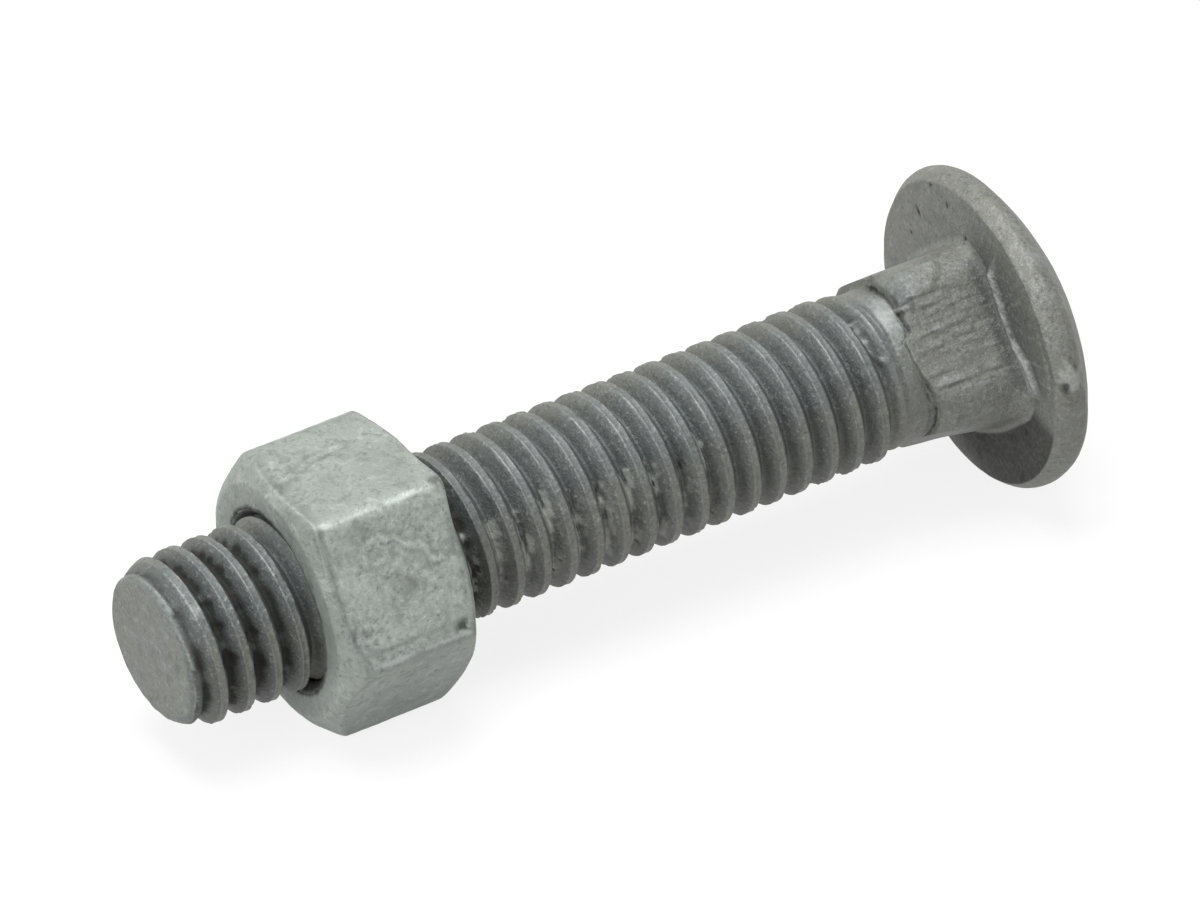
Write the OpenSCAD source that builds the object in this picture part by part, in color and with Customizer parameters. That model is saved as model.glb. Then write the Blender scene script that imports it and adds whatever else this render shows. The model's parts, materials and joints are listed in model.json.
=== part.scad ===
// Hot-dip galvanised carriage bolt, 3/8-16 x 2 inch, with its hexagon nut run on near the tip.
// Both pieces are drawn upright about the bolt's own axis: z = 0 is the bearing face under the
// head, the crown is above it and the thread runs down to the tip. lie() then lays the pair down
// as it comes to rest, on the rim of the head and one flat of the nut, with the head towards +X.
// The origin is on the surface it lies on, below the middle of its length. Millimetres.

/* [Head] */
// Diameter of the round head
head_d = 18.2; // [14:0.1:24]
// Height of the head, from bearing face to crown
head_h = 4.7; // [3.6:0.1:6]
// Radius of the rolled rim
rim_r = 1.0; // [0.4:0.05:1.2]

/* [Square neck] */
// Width of the neck across its flats
neck_w = 9.3; // [8.8:0.05:11.5]
// Length of the neck under the head
neck_len = 5.2; // [3.5:0.1:7]
// Radius of the neck's four corners
neck_corner_r = 2.05; // [1:0.05:2.6]
// How far up its corners the bevel at the neck's lower end reaches
neck_lead = 0.8; // [0.3:0.05:1.2]
// Flat edge left between the neck's flats and that bevel
neck_edge = 0.3; // [0.1:0.05:0.4]
// Turn of the neck about the axis, against the way the nut lies
neck_turn = 51; // [0:1:89]

/* [Shank] */
// Length from the bearing face to the tip
bolt_len = 49.4; // [38:0.1:76]
// Length of the plain shoulder between thread and neck
shoulder_len = 1.1; // [0.8:0.1:4]
// How far the plain shoulder stands in from the crests
shoulder_step = 0.33; // [0.3:0.01:0.6]

/* [Thread] */
// Diameter over the crests
thread_d = 9.28; // [8.9:0.02:10.4]
// Pitch: 16 turns to the inch, right-handed
pitch = 1.5875; // [1.2:0.0005:1.9]
// Depth of the thread, crest to root
thread_depth = 0.9; // [0.6:0.02:1]
// Width of the crests, rounded over by the zinc
crest_w = 0.28; // [0.15:0.01:0.4]
// Width of the root
root_w = 0.2; // [0.1:0.01:0.3]
// Length over which the thread fades out at the shoulder
runout_len = 1.3; // [0.8:0.1:3]
// Where the crest starts round the axis
thread_turn = 228.2; // [0:0.1:359]

/* [Tip] */
// How far the flat face at the tip stands in from the crests
tip_step = 0.69; // [0.5:0.01:1]
// Length of the plain bevelled end before the thread starts
tip_lead = 0.9; // [0.5:0.1:1.5]
// Bevel of that end, measured from the axis
tip_angle = 24; // [15:1:40]
// How far the sheared tip face is out of square at its edge
tip_skew = 0.2; // [0:0.05:0.4]
// Where round the axis the sheared tip is shortest
tip_skew_turn = 265; // [0:1:359]

/* [Nut] */
// Width of the nut across its flats
nut_w = 14.0; // [13:0.1:17]
// Height of the nut
nut_h = 8.1; // [6.5:0.1:10]
// Radius of the nut's six corners
nut_corner_r = 1.1; // [0.4:0.05:1.8]
// Diameter of the two bevelled end faces
nut_face_d = 12.9; // [12.6:0.1:13.6]
// Angle of the bevels on the nut's ends
nut_bevel = 33; // [20:1:40]
// Depth of the countersinks at the ends of the bore
nut_sink = 0.32; // [0.2:0.02:0.6]
// Gap all round between the bolt's crests and the bore
thread_gap = 0.1; // [0.08:0.01:0.2]
// How far the nut stands in from the tip
nut_from_tip = 7.4; // [0:0.1:26]

/* [Hidden] */
steps = 24;                         // thread facets round one turn
bite = 0.4;                         // how far one forged form runs into the next
tuck = 0.07;                        // how far the faded thread slips inside the shoulder
past = 1;                           // how far a cutting shape stands clear of what it cuts
zinc_grey = [0.46, 0.48, 0.47];
pale_zinc = [0.64, 0.67, 0.64];

crest_r = thread_d / 2;
root_r = crest_r - thread_depth;
flank_w = (pitch - crest_w - root_w) / 2;
shoulder_r = crest_r - shoulder_step;
shoulder_z = -neck_len - shoulder_len;     // where the thread meets the shoulder
tip_r = crest_r - tip_step;
tip_z = -bolt_len;
thread_mid_z = (tip_z + shoulder_z) / 2;
nut_z = tip_z + nut_from_tip;              // the nut's face towards the tip
bore_r = crest_r + thread_gap;
face_r = nut_face_d / 2;

// The crown is one sphere that leaves the rim's roundness without an edge
rim_ring_r = head_d / 2 - rim_r;
crown_r = (pow(rim_ring_r, 2) + pow(head_h - rim_r, 2) - rim_r * rim_r) / (2 * (head_h - 2 * rim_r));
crown_z = head_h - crown_r;
crown_seam_z = rim_r + rim_r * cos(atan2(rim_ring_r, rim_r - crown_z));

// Lying down: the rim of the head and the lower flat of the nut both touch the surface
flat_end_z = nut_z + (nut_w / 2 - face_r) * tan(nut_bevel);
rise = rim_ring_r - nut_w / 2;
reach = rim_r - flat_end_z;
tilt = atan2(rise, reach) + asin(rim_r / norm([rise, reach]));
lift = nut_w / 2 * cos(tilt) - flat_end_z * sin(tilt);
crown_x = crown_z * cos(tilt) + crown_r;
tip_x = tip_z * cos(tilt) - tip_r * sin(tilt);

// ---- helpers ----

// Lays the upright pieces down with the head towards +X
module lie() {
    translate([-(crown_x + tip_x) / 2, 0, lift]) rotate([0, 90 - tilt, 0]) children();
}

// Even-sided outline with round corners, made of strips across the flats and corner discs
module round_cornered(sides, across, r) {
    side = (across - 2 * r) * tan(180 / sides);
    for (i = [0 : sides / 2 - 1]) rotate(360 / sides * i) square([across, side], center = true);
    for (i = [0 : sides - 1]) rotate(360 / sides * i) translate([across / 2 - r, side / 2]) circle(r, $fn = 48);
}

// ---- the bolt ----

// Radius that the plain bevelled end allows at a height above the tip
function bevel_r(z) = tip_r + z * tan(tip_angle);

// Fades from a to b while t goes from 0 to 1
function fade(a, b, t) = a + (b - a) * min(1, max(0, t));

// Radius at height z of a crest or a root that is full_r where the thread is whole. The column
// of the thread that it is on ends at z0. It grows out of the bevelled end within one turn,
// and fades into the shoulder.
function thread_r(z, z0, full_r) = min(bevel_r(z - z0),
    z < thread_mid_z
        ? fade(bevel_r(tip_lead), full_r, (z - z0 - tip_lead) / pitch)
        : fade(full_r, shoulder_r - tuck, (z - shoulder_z + runout_len) / runout_len));

// The threaded shank: columns of points round the axis, each with four points to a pitch,
// crest edge, crest edge, root edge, root edge, and each a little higher than the last one,
// so that a full turn ends four points up. Points past an end gather on that end's plane.
module threaded_shank() {
    top_z = shoulder_z + bite;
    edges = [-crest_w / 2, crest_w / 2, crest_w / 2 + flank_w, crest_w / 2 + flank_w + root_w];
    full_r = [crest_r, crest_r, root_r, root_r];
    turns = ceil((top_z - tip_z) / pitch) + 3;
    rows = 4 * turns;
    turns_to = [for (j = [0 : steps - 1]) thread_turn + 360 / steps * j];
    column_z = [for (a = turns_to) tip_z + tip_skew * cos(a - tip_skew_turn)];
    points = [for (j = [0 : steps - 1]) for (i = [0 : rows - 1])
        let (turn_z = pitch * (floor(i / 4) - 2 + j / steps),
             z = min(top_z, max(column_z[j], tip_z + turn_z + edges[i % 4])),
             r = thread_r(z, column_z[j], full_r[i % 4]))
        [r * cos(turns_to[j]), r * sin(turns_to[j]), z]];
    // the last column joins the first one a turn further up
    function at(i, j) = j < steps ? j * rows + i : min(rows - 1, i + 4);
    function real(t) = points[t[0]] != points[t[1]] && points[t[1]] != points[t[2]]
        && points[t[2]] != points[t[0]];
    skin = [for (j = [0 : steps - 1]) for (i = [0 : rows - 2])
        for (t = [[at(i, j), at(i + 1, j), at(i + 1, j + 1)], [at(i, j), at(i + 1, j + 1), at(i, j + 1)]])
        if (real(t)) t];
    low_end = [for (j = [0 : steps - 1]) at(0, j)];
    high_end = [for (j = [steps - 1 : -1 : 0]) at(rows - 1, j)];
    polyhedron(points, concat(skin, [low_end, high_end]), convexity = 10);
}

// Plain shoulder, at the diameter that the thread was rolled from
module shoulder() {
    translate([0, 0, shoulder_z]) cylinder(h = shoulder_len + bite, r = shoulder_r, $fn = 72);
}

// Square neck, its corners bevelled back at the lower end
module neck() {
    corner_reach = (neck_w / 2 - neck_corner_r) * sqrt(2) + neck_corner_r;
    lead_r = neck_w / 2 + neck_edge;
    clear_r = 2 * corner_reach - lead_r;
    intersection() {
        translate([0, 0, -neck_len]) linear_extrude(neck_len + bite)
            rotate(neck_turn) round_cornered(4, neck_w, neck_corner_r);
        translate([0, 0, -neck_len]) rotate_extrude($fn = 72)
            polygon([[0, 0], [lead_r, 0], [clear_r, 2 * neck_lead],
                [clear_r, neck_len + past], [0, neck_len + past]]);
    }
}

// Low round head: flat bearing face, rolled rim, shallow crown
module head() {
    rotate_extrude($fn = 96) {
        square([rim_ring_r, 2 * rim_r]);
        translate([rim_ring_r, rim_r]) circle(rim_r, $fn = 48);
        intersection() {
            translate([0, crown_z]) circle(crown_r, $fn = 180);
            translate([0, crown_seam_z]) square([head_d, head_h]);
        }
    }
}

module carriage_bolt() {
    color(zinc_grey) lie() union() {
        threaded_shank();
        shoulder();
        neck();
        head();
    }
}

// ---- the nut ----

// Cone-ended envelope that bevels the hexagon's corners at both ends
module nut_bevels() {
    sharp_r = nut_w / 2 / cos(180 / 6);
    drop = (sharp_r - face_r) * tan(nut_bevel);
    rotate_extrude($fn = 96)
        polygon([[0, 0], [face_r, 0], [sharp_r, drop], [sharp_r, nut_h - drop], [face_r, nut_h], [0, nut_h]]);
}

// Bore with a countersink at each end
module nut_bore() {
    sink_r = bore_r + 2 * nut_sink;
    translate([0, 0, -past]) cylinder(h = nut_h + 2 * past, r = bore_r, $fn = 72);
    for (end = [0, 1]) translate([0, 0, end * nut_h]) mirror([0, 0, end])
        translate([0, 0, -nut_sink]) cylinder(h = 2 * nut_sink, r1 = sink_r, r2 = bore_r, $fn = 72);
}

module hex_nut() {
    color(pale_zinc) lie() translate([0, 0, nut_z]) difference() {
        intersection() {
            linear_extrude(nut_h) round_cornered(6, nut_w, nut_corner_r);
            nut_bevels();
        }
        nut_bore();
    }
}

carriage_bolt();
hex_nut();
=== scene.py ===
import json
import math

import bmesh
import bpy
from mathutils import Matrix, Vector, noise


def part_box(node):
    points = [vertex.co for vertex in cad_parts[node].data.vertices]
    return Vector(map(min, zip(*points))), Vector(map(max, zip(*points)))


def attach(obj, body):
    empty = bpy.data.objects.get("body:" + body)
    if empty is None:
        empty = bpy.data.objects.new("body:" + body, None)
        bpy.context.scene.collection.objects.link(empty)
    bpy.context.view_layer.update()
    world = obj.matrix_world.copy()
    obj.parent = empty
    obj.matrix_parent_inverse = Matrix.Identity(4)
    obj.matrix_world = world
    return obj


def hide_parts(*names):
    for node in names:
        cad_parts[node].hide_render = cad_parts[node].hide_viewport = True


bl_info = {
    "name": "Carriage bolt with nut",
    "version": (1, 0, 0),
    "blender": (4, 5, 0),
    "location": "View3D > Sidebar > Fastener",
    "description": "Models a hot-dip galvanised carriage bolt and its hex nut on their packed frame",
    "category": "Mesh",
}

# ---- what the frame says ----

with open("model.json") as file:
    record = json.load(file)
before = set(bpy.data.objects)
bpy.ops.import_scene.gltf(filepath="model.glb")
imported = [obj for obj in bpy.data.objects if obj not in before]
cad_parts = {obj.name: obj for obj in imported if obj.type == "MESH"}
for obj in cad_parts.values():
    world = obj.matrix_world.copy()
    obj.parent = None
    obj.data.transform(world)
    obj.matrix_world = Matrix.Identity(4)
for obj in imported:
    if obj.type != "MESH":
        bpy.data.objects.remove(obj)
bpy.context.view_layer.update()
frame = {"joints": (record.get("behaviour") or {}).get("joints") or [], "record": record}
BOLT_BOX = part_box("carriage_bolt")
MOUNTS = {mount["name"]: mount for mount in frame["record"]["mounts"]}

MM = 0.001
MERGE = 0.004 * MM          # points closer than this are one point


def lying_matrix():
    """Takes the bolt's own upright frame, with z = 0 at the bearing face under the head and the
    thread running down from it, to the frame that the pair lies in."""
    axis = Vector(frame["joints"][0]["axis"])
    face = MOUNTS["under_head"]["pos_m"]
    return Matrix((
        (axis.z, 0, axis.x, face[0]),
        (0, 1, 0, 0),
        (-axis.x, 0, axis.z, face[2]),
        (0, 0, 0, 1),
    ))


LYING = lying_matrix()


def upright(name):
    """Where a mount is in the upright frame."""
    return LYING.inverted() @ Vector(MOUNTS[name]["pos_m"])


# ---- sizes and colours that a user would change ----

def length(name, description, default):
    """A size in metres, typed in or read from the frame."""
    return bpy.props.FloatProperty(name=name, description=description, default=default,
                                   min=0, precision=5, unit="LENGTH", subtype="DISTANCE")


def turn(name, description, degrees):
    """An angle, stated in degrees."""
    return bpy.props.FloatProperty(name=name, description=description,
                                   default=math.radians(degrees), subtype="ANGLE", unit="ROTATION")


def colour(name, description, default):
    """A linear colour."""
    return bpy.props.FloatVectorProperty(name=name, description=description, default=default,
                                         size=3, min=0, max=1, subtype="COLOR")


class BoltSizes(bpy.types.PropertyGroup):
    """Sizes of the carriage bolt"""
    head_d: length("Head diameter", "Diameter of the round head", 2 * BOLT_BOX[1].y)
    head_h: length("Head height", "From the bearing face to the crown", 4.7 * MM)
    rim_r: length("Rim radius", "Radius of the rolled rim", 1.0 * MM)
    rim_bevel: turn("Rim bevel", "Slant of the rim beside the bearing face, from the axis", 40)
    neck_w: length("Neck width", "Across the flats of the square neck", 9.3 * MM)
    neck_len: length("Neck length", "Length of the square neck",
                     MOUNTS["square_neck"]["dims"]["length_mm"] * MM)
    neck_corner_r: length("Neck corner radius", "Radius of the neck's corners", 2.05 * MM)
    neck_lead: length("Neck bevel", "How far up its corners the neck's bevel reaches", 0.8 * MM)
    neck_edge: length("Neck edge", "Flat edge between the neck's flats and its bevel", 0.3 * MM)
    neck_fillet: length("Neck fillet", "Zinc-filled corner between neck and head", 0.35 * MM)
    neck_turn: turn("Neck turn", "Turn of the neck about the axis", 51)
    bolt_len: length("Length", "From the bearing face to the tip", -upright("threaded_shank").z)
    shoulder_len: length("Shoulder length", "Plain stretch between thread and neck", 1.1 * MM)
    shoulder_step: length("Shoulder step", "How far the shoulder is in from the crests", 0.33 * MM)
    thread_r: length("Thread radius", "Radius over the crests",
                     MOUNTS["threaded_shank"]["dims"]["r_mm"] * MM)
    pitch: length("Pitch", "16 turns to the inch", 25.4 / 16 * MM)
    thread_depth: length("Thread depth", "From crest to root", 0.9 * MM)
    crest_w: length("Crest width", "Width of the crests", 0.42 * MM)
    seam_depth: length("Seam depth", "Depth of the seam that rolling leaves on the crests", 0.05 * MM)
    root_w: length("Root width", "Width of the roots", 0.2 * MM)
    runout_len: length("Run-out", "Length over which the thread fades out", 1.3 * MM)
    thread_turn: turn("Thread turn", "Where the crest starts round the axis", 228.2)
    tip_step: length("Tip step", "How far the tip face is in from the crests", 0.69 * MM)
    tip_lead: length("Tip lead", "Plain bevelled end before the thread starts", 0.28 * MM)
    tip_fade: length("Tip fade", "Length over which the grooves reach their depth", 0.7 * MM)
    tip_angle: turn("Tip bevel", "Bevel of that end, from the axis", 24)
    tip_skew: length("Tip skew", "How far the sheared tip is out of square", 0.2 * MM)
    tip_skew_turn: turn("Tip skew turn", "Where round the axis the tip is shortest", 265)


class NutSizes(bpy.types.PropertyGroup):
    """Sizes of the hex nut"""
    nut_w: length("Nut width", "Across the flats", -2 * upright("nut_flats").x)
    nut_h: length("Nut height", "Height of the nut",
                  2 * (upright("nut_seat").z - upright("nut_flats").z))
    corner_r: length("Corner radius", "Radius of the six corners", 1.1 * MM)
    face_d: length("Face diameter", "Diameter of the bevelled end faces", 12.9 * MM)
    bevel: turn("Bevel", "Angle of the bevels on the ends", 33)
    bore_r: length("Bore radius", "Radius at the bottom of the nut's thread", 4.74 * MM)
    tooth_r: length("Tooth radius", "Radius over the nut's own crests", 4.02 * MM)
    sink: length("Countersink", "Depth of the countersinks", 0.32 * MM)
    slack: length("Slack", "Play between the two threads", 0.06 * MM)


class ZincColours(bpy.types.PropertyGroup):
    """Colours of the galvanised coat"""
    bolt: colour("Bolt", "Dull zinc on the bolt", (0.164, 0.184, 0.179))
    bolt_warm: colour("Bolt, warm", "Drabber zinc in clouds", (0.174, 0.178, 0.154))
    # This colour also paints the shade in grooves, creases and the bore, on the nut too.
    bolt_dark: colour("Bolt, dark", "Zinc in the thread and in pores", (0.053, 0.060, 0.060))
    # This colour also paints highlights on the crests, the shoulder, the neck's ridges and the rim.
    bolt_pale: colour("Bolt, bright", "Rubbed zinc on crests and edges", (0.34, 0.36, 0.35))
    nut: colour("Nut", "Pale zinc on the nut", (0.280, 0.312, 0.282))
    nut_dark: colour("Nut, mottles", "Darker mottling on the nut", (0.165, 0.182, 0.163))
    # This colour also paints highlights along the nut's corners and bevels.
    nut_pale: colour("Nut, bright", "Rubbed zinc on the nut's edges", (0.47, 0.51, 0.48))
    dross: colour("Dross", "Pale zinc left in the roots", (0.39, 0.395, 0.365))
    # This colour also paints shade: in creases, in the grooves by the nut, and the neck's shadow under the
    # head.
    dirt_and_shade: colour("Dirt", "Black dirt in pits and roots", (0.016, 0.015, 0.013))


# ---- shapes shared by the pieces ----

COLUMNS = 180               # points round the bolt
NUT_COLUMNS = 288           # points round the nut


def fade(a, b, t):
    """From a to b while t goes from 0 to 1, and level beyond."""
    return a + (b - a) * min(1, max(0, t))


def ease(t):
    """0 to 1 with level ends."""
    t = min(1, max(0, t))
    return t * t * (3 - 2 * t)


def hump(x, width):
    """A smooth hump, 1 at x = 0, and small past its width."""
    return math.exp(-(x / width) ** 2)


def soft_min(a, b, soft):
    """The lower of two values, rounded over where they meet."""
    return (a + b - math.hypot(a - b, soft)) / 2


def soft_max(a, b, soft):
    """The higher of two values, rounded over where they meet."""
    return (a + b + math.hypot(a - b, soft)) / 2


def span(x, low, high, soft):
    """1 between low and high, and eased to 0 outside them."""
    return ease((x - low) / soft + 1) * ease((high - x) / soft + 1)


def past_turn(degrees, turn_at):
    """How far a turn is past another one, in degrees from -180 to 180."""
    return (degrees - turn_at + 180) % 360 - 180


def near_turn(degrees, turn_at, width):
    """1 at a turn, and small past a width in degrees on either side of it."""
    return hump(past_turn(degrees, turn_at), width)


def cloud(p, size, kind=0):
    """Smooth noise, about -1 to 1, with lumps of about a size."""
    return noise.noise(Vector(p) / size + Vector((17.3 * kind, 5.1, 9.7)))


def along(places, x):
    """Value at x of a line through a few (x, value) places, level beyond its ends."""
    for (x0, a), (x1, b) in zip(places, places[1:]):
        if x < x1:
            return fade(a, b, (x - x0) / (x1 - x0))
    return places[-1][1]


def off_chain(x, y, chain):
    """Distance of a point from a chain of straight pieces."""
    near = 1e9
    for (x0, y0), (x1, y1) in zip(chain, chain[1:]):
        share = ((x - x0) * (x1 - x0) + (y - y0) * (y1 - y0)) / ((x1 - x0) ** 2 + (y1 - y0) ** 2)
        share = min(1, max(0, share))
        near = min(near, math.hypot(x - fade(x0, x1, share), y - fade(y0, y1, share)))
    return near


def outline_radius(angle, sides, across, corner_r):
    """Radius at an angle of an even-sided outline with round corners and a flat at angle 0."""
    half_side = math.pi / sides
    off_flat = abs((angle + half_side) % (2 * half_side) - half_side)
    flat_r = across / 2
    flat_end = math.atan2((flat_r - corner_r) * math.tan(half_side), flat_r)
    if off_flat < flat_end:
        return flat_r / math.cos(off_flat)
    centre_r = (flat_r - corner_r) / math.cos(half_side)
    off_corner = half_side - off_flat
    across_corner = centre_r * math.sin(off_corner)
    return centre_r * math.cos(off_corner) + math.sqrt(corner_r ** 2 - across_corner ** 2)


def divided(points, step):
    """The same chain of (radius, height) points with more along it, a step apart at most."""
    chain = [points[0]]
    for (r0, z0), (r1, z1) in zip(points, points[1:]):
        parts = max(1, math.ceil(math.hypot(r1 - r0, z1 - z0) / step))
        chain += [(r0 + (r1 - r0) * k / parts, z0 + (z1 - z0) * k / parts)
                  for k in range(1, parts + 1)]
    return chain


def arc(centre_r, centre_z, radius, start, end, parts):
    """Points on an arc about (centre_r, centre_z). Angles are up from the outward direction."""
    angles = [start + (end - start) * k / parts for k in range(parts + 1)]
    return [(centre_r + radius * math.cos(a), centre_z + radius * math.sin(a)) for a in angles]


def weld(bm):
    """Makes points that are in one place one point."""
    bmesh.ops.remove_doubles(bm, verts=bm.verts[:], dist=MERGE)


def laid_chain(bm, chain, angle):
    """Lays a chain of (radius, height) points into a mesh at one angle round the axis."""
    verts = [bm.verts.new((r * math.cos(angle), r * math.sin(angle), z)) for r, z in chain]
    return verts + [bm.edges.new(pair) for pair in zip(verts, verts[1:])]


def lathe(bm, chain, angle, columns):
    """Spins a chain of points once round the axis."""
    bmesh.ops.spin(bm, geom=laid_chain(bm, chain, angle), cent=(0, 0, 0), axis=(0, 0, 1),
                   angle=2 * math.pi, steps=columns, use_merge=True)


def one_pitch(pitch, stops, radius):
    """Outline of one pitch of a thread, from the middle of its crest to the middle of the next.
    Stops go from 0 there to 1 in the root, and radius takes the distance from the nearest middle."""
    stops = stops[:-1] + [2 - t for t in reversed(stops)]
    return [(radius(min(t, 2 - t) * pitch / 2), t * pitch / 2) for t in stops]


def wind_thread(bm, chain, angle, columns, pitch, turns):
    """Winds a chain one pitch long up a right-hand helix, then stacks the turns."""
    bmesh.ops.spin(bm, geom=laid_chain(bm, chain, angle), cent=(0, 0, 0), axis=(0, 0, 1),
                   dvec=(0, 0, pitch / columns), angle=2 * math.pi, steps=columns)
    first = bm.verts[:] + bm.edges[:] + bm.faces[:]
    for k in range(1, turns):
        copy = bmesh.ops.duplicate(bm, geom=first)["geom"]
        verts = [part for part in copy if isinstance(part, bmesh.types.BMVert)]
        bmesh.ops.translate(bm, verts=verts, vec=(0, 0, k * pitch))
    weld(bm)


def reshape(verts, rule):
    """Moves points in and out and up and down: rule takes angle, radius and height, and
    returns the new radius and height."""
    for v in verts:
        angle = math.atan2(v.co.y, v.co.x)
        r, z = rule(angle, math.hypot(v.co.x, v.co.y), v.co.z)
        v.co = (r * math.cos(angle), r * math.sin(angle), z)


# What the coat is like at a point, each from 0 to 1, in the order of MARKS: painted shade in grooves,
# creases and hollows (with some duller zinc on the nut), covered with dross, dirty (with painted shade in
# creases and the neck's painted shadow under the head), rubbed bright (with painted highlights on lit
# crests, edges and rims), cool rather than warm in colour, and streaked along the bolt by drawing.
MARKS = ("shade_and_dull_zinc", "dross", "dirt_and_shade", "rub_and_highlight", "cool", "drawn")


def dress(bm, rule):
    """Gives the coat its relief and its marks. The rule takes turn round the axis in degrees,
    then radius, height and place in millimetres. It returns how far the coat stands out there,
    in millimetres, and the strength of each mark."""
    bmesh.ops.recalc_face_normals(bm, faces=bm.faces[:])
    layers = [bm.verts.layers.float.new(name) for name in MARKS]
    moves = []
    for v in bm.verts:
        p = v.co / MM
        degrees = math.degrees(math.atan2(p.y, p.x))
        out, *marks = rule(degrees, math.hypot(p.x, p.y), p.z, p)
        marks += [0] * (len(MARKS) - len(marks))
        for layer, mark in zip(layers, marks):
            v[layer] = min(1, max(0, mark))
        moves.append((v, v.normal * out * MM))
    for v, move in moves:
        v.co += move


def in_scene(name, data):
    """A new object of a mesh, a lamp or a camera, in the scene."""
    made = bpy.data.objects.new(name, data)
    bpy.context.scene.collection.objects.link(made)
    return made


def finished_mesh(bm, name, body, node, material):
    """Lays a closed mesh down, and makes it the piece that stands for a CAD node."""
    bmesh.ops.recalc_face_normals(bm, faces=bm.faces[:])
    bmesh.ops.transform(bm, matrix=LYING, verts=bm.verts[:])
    open_edges = [e for e in bm.edges if not e.is_manifold]
    if open_edges:
        raise RuntimeError(f"{name} has {len(open_edges)} open or doubled edges")
    for face in bm.faces:
        face.smooth = True
    mesh = bpy.data.meshes.new(name)
    bm.to_mesh(mesh)
    bm.free()
    mesh.materials.append(material)
    piece = in_scene(name, mesh)
    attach(piece, body)
    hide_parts(node)


# ---- the bolt ----

def thread_chain(s):
    """One pitch of the bolt's thread, from crest centre to crest centre. The crest has the shallow
    seam that rolling leaves along its middle."""
    flank_w = (s.pitch - s.crest_w - s.root_w) / 2

    def radius(off):
        flank = s.thread_r - (off - s.crest_w / 2) * s.thread_depth / flank_w
        r = soft_max(s.thread_r - s.thread_depth, soft_min(flank, s.thread_r, 0.03 * MM), 0.08 * MM)
        return r - s.seam_depth * hump(off, s.crest_w / 4)

    return one_pitch(s.pitch, [0, 0.13, 0.24, 0.30, 0.46, 0.70, 0.87, 1], radius)


def thread_rule(s):
    """How the thread grows out of the bevelled tip, and fades into the shoulder."""
    tip_z = 0.03 * MM - s.bolt_len
    tip_r = s.thread_r - s.tip_step
    join_z = -s.neck_len - s.shoulder_len
    shoulder_r = s.thread_r - s.shoulder_step
    slope = math.tan(s.tip_angle)
    round_r = 0.18 * MM

    def rule(angle, r, z):
        end_z = tip_z + s.tip_skew * math.cos(angle - s.tip_skew_turn)
        z = min(join_z, max(end_z, z))
        off = z - end_z
        if z < (tip_z + join_z) / 2:
            r = fade(tip_r + off * slope, r, (off - s.tip_lead) / s.tip_fade)
            r = soft_min(tip_r + off * slope, r, 0.06 * MM)
            inside = max(0, 1 - off / round_r)
            r -= round_r * (1 - math.sqrt(1 - inside * inside))
        else:
            r = fade(r, shoulder_r, (z - join_z + s.runout_len) / s.runout_len)
        return r, z

    return rule


def close_tip(bm, s):
    """Draws the open end at the tip in, ring by ring, to a closed face."""
    rings = 14
    end = [e for e in bm.edges if e.is_boundary and e.verts[0].co.z < -s.bolt_len / 2]
    for k in range(rings, 0, -1):
        made = bmesh.ops.extrude_edge_only(bm, edges=end)["geom"]
        verts = [part for part in made if isinstance(part, bmesh.types.BMVert)]
        end = [part for part in made if isinstance(part, bmesh.types.BMEdge)
               and part.verts[0] in verts and part.verts[1] in verts and part.is_boundary]
        scale = (k - 1) / k if k > 1 else 0
        middle = sum((v.co for v in verts), Vector()) / len(verts)
        bmesh.ops.scale(bm, vec=(scale, scale, scale), space=Matrix.Translation(-middle), verts=verts)


def head_chain(s):
    """Outline of shoulder, neck and head, from the shoulder's foot up to the crown's middle. The
    neck is drawn round here, out to its corners."""
    join_z = -s.neck_len - s.shoulder_len
    shoulder_r = s.thread_r - s.shoulder_step
    corner_reach = neck_corner_reach(s)
    ring_r = s.head_d / 2 - s.rim_r
    crown_r = (ring_r ** 2 + (s.head_h - s.rim_r) ** 2 - s.rim_r ** 2) / (2 * (s.head_h - 2 * s.rim_r))
    crown_z = s.head_h - crown_r
    seam = math.atan2(s.rim_r - crown_z, ring_r)
    quarter = math.pi / 2
    fillet = arc(corner_reach + s.neck_fillet, -s.neck_fillet, s.neck_fillet, 2 * quarter, quarter, 3)
    neck = [(shoulder_r, join_z), (shoulder_r, -s.neck_len), (s.neck_w / 2 + s.neck_edge, -s.neck_len),
            (corner_reach, -s.neck_len + s.neck_lead), fillet[0]]
    rim = arc(ring_r, s.rim_r, s.rim_r, -s.rim_bevel, seam, 11)
    edge_r = rim[0][0] - rim[0][1] * math.tan(s.rim_bevel)
    near = 0.05 * MM
    bevel = [(edge_r - near, 0),
             (edge_r + near * math.sin(s.rim_bevel), near * math.cos(s.rim_bevel)), rim[0]]
    crown = arc(0, crown_z, crown_r, seam, quarter, 26)
    return (divided(neck, 0.16 * MM) + fillet[1:] + divided([fillet[-1], bevel[0]], 0.10 * MM)[1:]
            + divided(bevel, 0.16 * MM)[1:] + rim[1:] + crown[1:])


def neck_corner_reach(s):
    """How far the neck's corners stand out from the axis."""
    return (s.neck_w / 2 - s.neck_corner_r) * math.sqrt(2) + s.neck_corner_r


# How far the neck's lower edge is drawn up (or down, over the shoulder), in mm, round the bolt.
# Metal was squeezed out as a lip in the middle of one flat, and lacks at the corner beside it.
NECK_EDGE = ((150, 0), (186, 0.16), (204, 0.08), (217, 0), (221, -0.52), (233, -0.46), (245, -0.2),
             (255, 0.05), (266, 0.3), (277, 0.66), (295, 0.7), (315, 0.35), (340, 0))


def neck_edge_shift(degrees):
    """How far the neck's lower edge wanders up or down."""
    a = math.radians(degrees)
    wander = 0.07 * cloud((9 * math.cos(a), 9 * math.sin(a), 0), 1)
    return (along(NECK_EDGE, degrees % 360) + wander) * MM


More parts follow.
